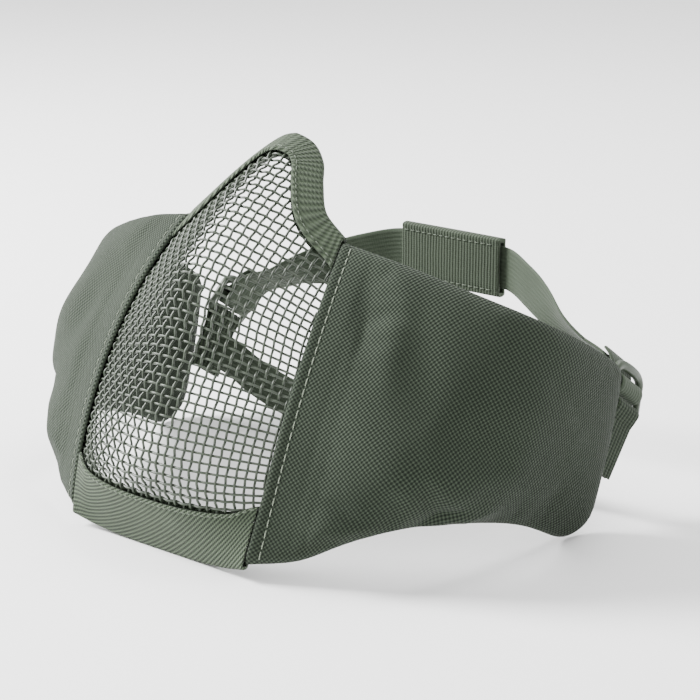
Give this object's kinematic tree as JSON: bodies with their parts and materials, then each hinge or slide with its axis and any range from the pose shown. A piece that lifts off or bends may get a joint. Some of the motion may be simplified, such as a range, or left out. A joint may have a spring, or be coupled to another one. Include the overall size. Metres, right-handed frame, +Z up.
{
  "type": "half-face mesh mask",
  "caption": "Half-face protective mask: ridged woven wire panel with webbing bindings, padded fabric cheek wings, ladder locks and elastic head straps.",
  "frame": {"origin": "centre of the bounding box at the height of the surface the mask rests on", "axes": "+X to the wearer's left, -Y the way the wearer looks, +Z up"},
  "size_m": [0.2088, 0.1676, 0.1311],
  "materials": {
    "painted_wire": "dull olive-green coated steel wire",
    "binding_webbing": "twill binding tape, matt",
    "wing_fabric": "coarse plain-woven nylon, matt",
    "lining_fabric": "knitted lining, matt",
    "foam": "open foam, hidden inside",
    "strap_webbing": "ribbed elastic webbing, matt",
    "lock_plastic": "moulded, satin"
  },
  "bodies": {
    "front": {"mesh_panel": "painted_wire", "nose_binding": "binding_webbing", "chin_binding": "binding_webbing", "left_hem": "wing_fabric", "right_hem": "wing_fabric", "left_edge_tape": "binding_webbing", "right_edge_tape": "binding_webbing", "left_upper_strap": "strap_webbing", "right_upper_strap": "strap_webbing", "left_lower_strap": "strap_webbing", "right_lower_strap": "strap_webbing"},
    "left_wing": {"left_wing_cover": "wing_fabric", "left_wing_foam": "foam", "left_wing_lining": "lining_fabric", "left_tab": "strap_webbing"},
    "left_lock": {"left_ladder_lock": "lock_plastic", "left_strap_end": "strap_webbing"},
    "right_wing": {"right_wing_cover": "wing_fabric", "right_wing_foam": "foam", "right_wing_lining": "lining_fabric", "right_tab": "strap_webbing"},
    "right_lock": {"right_ladder_lock": "lock_plastic", "right_strap_end": "strap_webbing"},
    "back_pad": {"back_pad_outer": "wing_fabric", "back_pad_inner": "wing_fabric"}
  },
  "joints": [
    {"name": "left_wing_fold", "type": "hinge", "parent": "front", "child": "left_wing", "pos_m": [0.05196, -0.04891, 0.05434], "axis": [-0.0539, 0.4993, 0.8648], "range_deg": [-15, 18], "deforming": ["left_upper_strap", "left_lower_strap"]},
    {"name": "left_lock_swivel", "type": "hinge", "parent": "left_wing", "child": "left_lock", "pos_m": [0.09568, 0.0553, 0.03744], "axis": [-0.0301, 0.8332, -0.5521], "range_deg": [-12, 12], "deforming": ["left_upper_strap"]},
    {"name": "right_wing_fold", "type": "hinge", "parent": "front", "child": "right_wing", "pos_m": [-0.05196, -0.04891, 0.05434], "axis": [-0.0539, -0.4993, -0.8648], "range_deg": [-15, 18], "deforming": ["right_upper_strap", "right_lower_strap"]},
    {"name": "right_lock_swivel", "type": "hinge", "parent": "right_wing", "child": "right_lock", "pos_m": [-0.09568, 0.0553, 0.03744], "axis": [-0.0301, -0.8332, 0.5521], "range_deg": [-12, 12], "deforming": ["right_upper_strap"]},
    {"name": "pad_slide", "type": "slide", "parent": "front", "child": "back_pad", "axis": [1, 0, 0], "range_m": [-0.003, 0.003], "deforming": ["left_upper_strap", "right_upper_strap"]}
  ]
}
